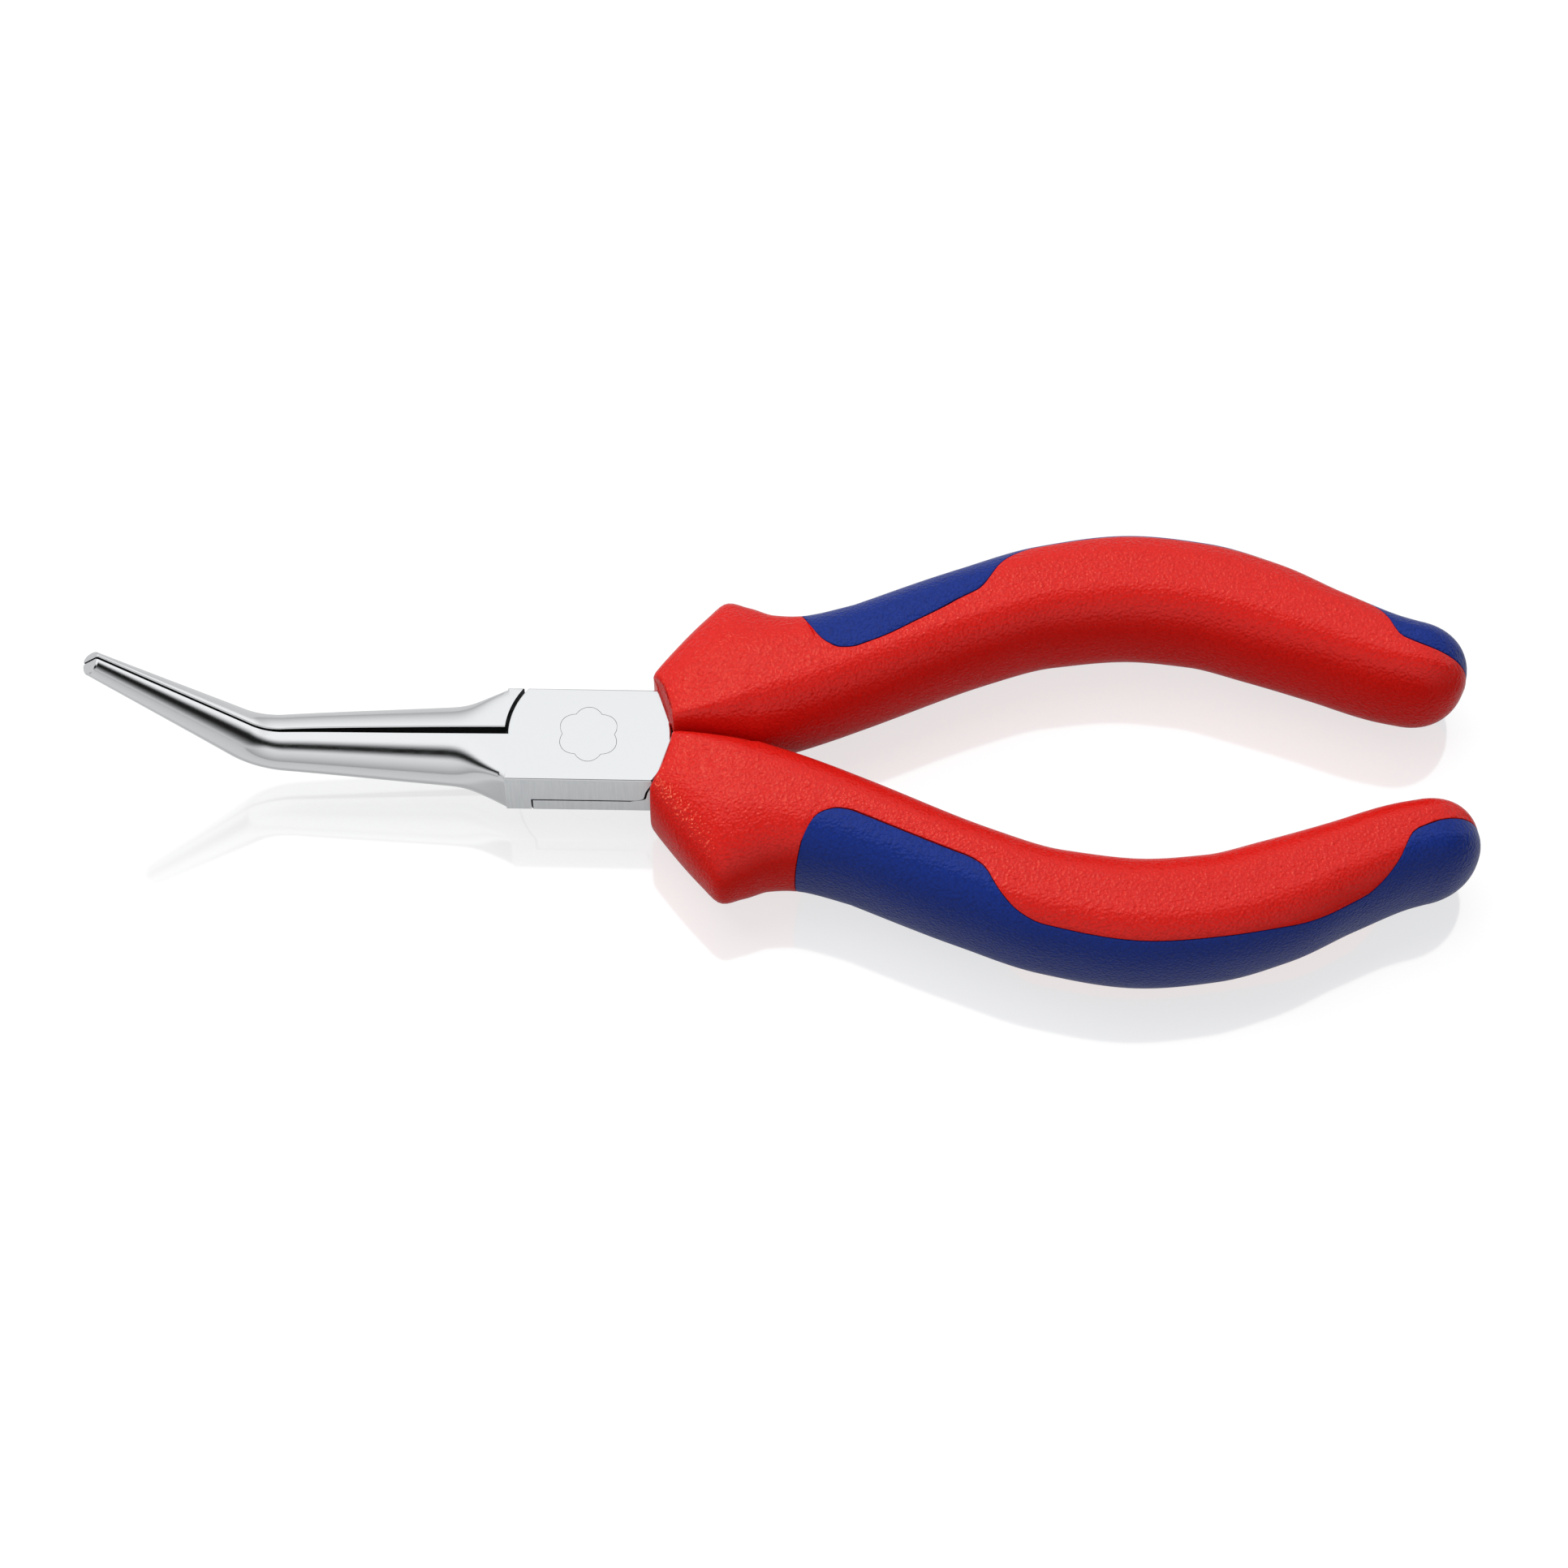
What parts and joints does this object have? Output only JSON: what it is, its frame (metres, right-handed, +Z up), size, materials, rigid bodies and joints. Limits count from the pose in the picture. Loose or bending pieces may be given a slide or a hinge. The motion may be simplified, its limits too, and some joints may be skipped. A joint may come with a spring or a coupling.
{
  "type": "needle nose pliers",
  "caption": "Needle nose pliers with slim half-round jaws bent upwards, a flat riveted lap joint and bowed two-colour grips; the handles open and close the jaws on one pivot.",
  "frame": {"origin": "on the pivot axis, at the flat underside of the joint", "axes": "+X from the pivot to the handles, the jaws point to -X; +Z up along the pivot axis, the way the jaws bend; the jaws close on the plane Y = 0"},
  "size_m": [0.16, 0.057, 0.0275],
  "materials": {
    "steel": "forged tool steel, ground and polished, chrome plated",
    "red_plastic": "moulded plastic with a fine eroded grain",
    "blue_plastic": "soft moulded inlay with a fine eroded grain"
  },
  "bodies": {
    "upper_half": {"upper_lever": "steel", "joint_rivet": "steel", "upper_lever_grip": "red_plastic", "upper_lever_grip_inlay": "blue_plastic"},
    "lower_half": {"lower_lever": "steel", "lower_lever_grip": "red_plastic", "lower_lever_grip_inlay": "blue_plastic"}
  },
  "joints": [
    {"name": "pivot", "type": "hinge", "parent": "upper_half", "child": "lower_half", "pos_m": [0, 0, 0.0038], "axis": [0, 0, -1], "range_deg": [0, 50]}
  ]
}
